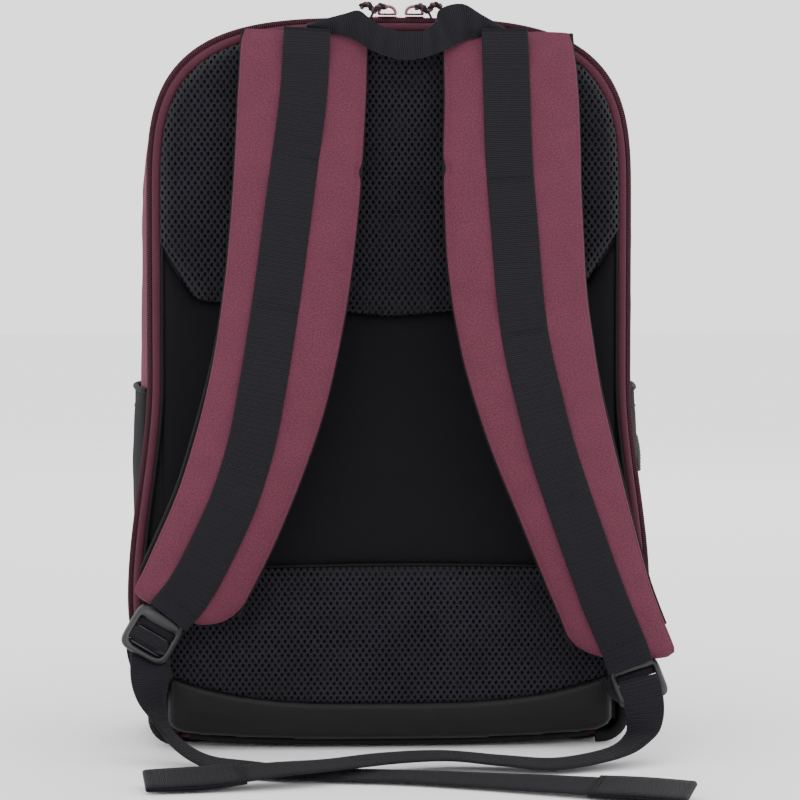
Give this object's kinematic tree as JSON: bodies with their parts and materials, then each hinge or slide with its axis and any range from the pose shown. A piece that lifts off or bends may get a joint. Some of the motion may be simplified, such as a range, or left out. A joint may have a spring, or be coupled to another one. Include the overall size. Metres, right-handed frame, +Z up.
{
  "type": "travel backpack",
  "caption": "Laptop backpack with a zipped rear laptop compartment behind a padded mesh harness panel, curved padded straps with adjusters, side pockets and a grab handle",
  "frame": {"origin": "centre of the base on the ground", "axes": "+Z up, harness side faces -Y, front pocket faces +Y, wearer's left strap at -X"},
  "size_m": [0.3493, 0.3713, 0.4704],
  "materials": {
    "burgundy_fabric": "fine woven polyester, slightly mottled burgundy",
    "black_fabric": "matt black woven lining cloth",
    "black_mesh": "black spacer mesh with oval holes",
    "black_webbing": "ribbed black polyester webbing",
    "leather_trim": "fine grained black coated trim, semi-matt",
    "black_plastic": "moulded black acetal, lightly textured",
    "painted_metal": "die-cast zip slider in glossy burgundy paint",
    "lining": "padded grey lining"
  },
  "bodies": {
    "pack": {"base_panel": "black_fabric", "left_side_panel": "burgundy_fabric", "right_side_panel": "burgundy_fabric", "top_gusset": "burgundy_fabric", "front_panel": "burgundy_fabric", "front_pocket": "burgundy_fabric", "front_pocket_zip": "burgundy_fabric", "main_zip": "burgundy_fabric", "rear_zip": "burgundy_fabric", "left_side_pocket": "black_fabric", "right_side_pocket": "black_fabric", "base_board": "black_plastic", "laptop_divider": "lining", "organiser_pocket": "lining", "left_tail": "black_webbing", "right_tail": "black_webbing"},
    "back_panel": {"frame_sheet": "black_plastic", "panel_border": "burgundy_fabric", "upper_mesh_pad": "black_mesh", "middle_panel": "black_fabric", "lumbar_pad": "black_mesh", "base_trim": "leather_trim", "left_anchor_web": "black_webbing", "right_anchor_web": "black_webbing"},
    "left_strap": {"left_strap_pad": "burgundy_fabric", "left_strap_mesh": "black_mesh", "left_strap_web": "black_webbing"},
    "right_strap": {"right_strap_pad": "burgundy_fabric", "right_strap_mesh": "black_mesh", "right_strap_web": "black_webbing"},
    "left_lock": {"left_ladder_lock": "black_plastic"},
    "right_lock": {"right_ladder_lock": "black_plastic"},
    "handle": {"grab_handle": "black_webbing"},
    "rear_slider_l": {"rear_slider_left": "painted_metal"},
    "rear_slider_r": {"rear_slider_right": "painted_metal"},
    "rear_pull_l": {"rear_pull_left": "black_webbing"},
    "rear_pull_r": {"rear_pull_right": "black_webbing"},
    "main_slider_body": {"main_slider": "painted_metal"},
    "main_pull": {"main_pull_cord": "black_webbing", "main_pull_grip": "black_plastic"},
    "pocket_slider_body": {"pocket_slider": "painted_metal"},
    "pocket_pull_body": {"pocket_pull": "black_plastic"}
  },
  "joints": [
    {"name": "back_panel_hinge", "type": "hinge", "parent": "pack", "child": "back_panel", "pos_m": [0, -0.066, 0.014], "axis": [1, 0, 0], "range_deg": [0, 25]},
    {"name": "left_strap_swing", "type": "hinge", "parent": "back_panel", "child": "left_strap", "pos_m": [-0.054, -0.086, 0.447], "axis": [-1, 0, 0], "range_deg": [0, 20], "deforming": ["left_anchor_web", "left_tail"]},
    {"name": "right_strap_swing", "type": "hinge", "parent": "back_panel", "child": "right_strap", "pos_m": [0.073, -0.086, 0.447], "axis": [-1, 0, 0], "range_deg": [0, 20], "deforming": ["right_anchor_web", "right_tail"]},
    {"name": "left_lock_tilt", "type": "hinge", "parent": "left_strap", "child": "left_lock", "pos_m": [-0.14189, -0.10897, 0.08362], "axis": [-0.8829, 0, 0.4695], "range_deg": [0, 30]},
    {"name": "right_lock_tilt", "type": "hinge", "parent": "right_strap", "child": "right_lock", "pos_m": [0.14992, -0.10569, 0.05547], "axis": [-0.9397, 0, -0.342], "range_deg": [0, 20]},
    {"name": "handle_lift", "type": "hinge", "parent": "back_panel", "child": "handle", "pos_m": [0.007, -0.087, 0.46], "axis": [-1, 0, 0], "range_deg": [0, 85]},
    {"name": "rear_slider_left_slide", "type": "slide", "parent": "pack", "child": "rear_slider_l", "axis": [-1, 0, 0], "range_m": [0, 0.05]},
    {"name": "rear_slider_right_slide", "type": "slide", "parent": "pack", "child": "rear_slider_r", "axis": [1, 0, 0], "range_m": [0, 0.05]},
    {"name": "rear_pull_left_lift", "type": "hinge", "parent": "rear_slider_l", "child": "rear_pull_l", "pos_m": [-0.0015, -0.0642, 0.4661], "axis": [0, 1, 0], "range_deg": [0, 90]},
    {"name": "rear_pull_right_lift", "type": "hinge", "parent": "rear_slider_r", "child": "rear_pull_r", "pos_m": [0.0155, -0.0642, 0.4661], "axis": [0, -1, 0], "range_deg": [0, 90]},
    {"name": "main_slider_slide", "type": "slide", "parent": "pack", "child": "main_slider_body", "axis": [0, 0, 1], "range_m": [-0.085, 0.11]},
    {"name": "main_pull_lift", "type": "hinge", "parent": "main_slider_body", "child": "main_pull", "pos_m": [0.1656, 0.037, 0.211], "axis": [0, -1, 0], "range_deg": [0, 90]},
    {"name": "pocket_slider_slide", "type": "slide", "parent": "pack", "child": "pocket_slider_body", "axis": [1, 0, 0], "range_m": [-0.19, 0.015]},
    {"name": "pocket_pull_lift", "type": "hinge", "parent": "pocket_slider_body", "child": "pocket_pull_body", "pos_m": [0.09, 0.0745, 0.294], "axis": [1, 0, 0], "range_deg": [0, 90]}
  ]
}
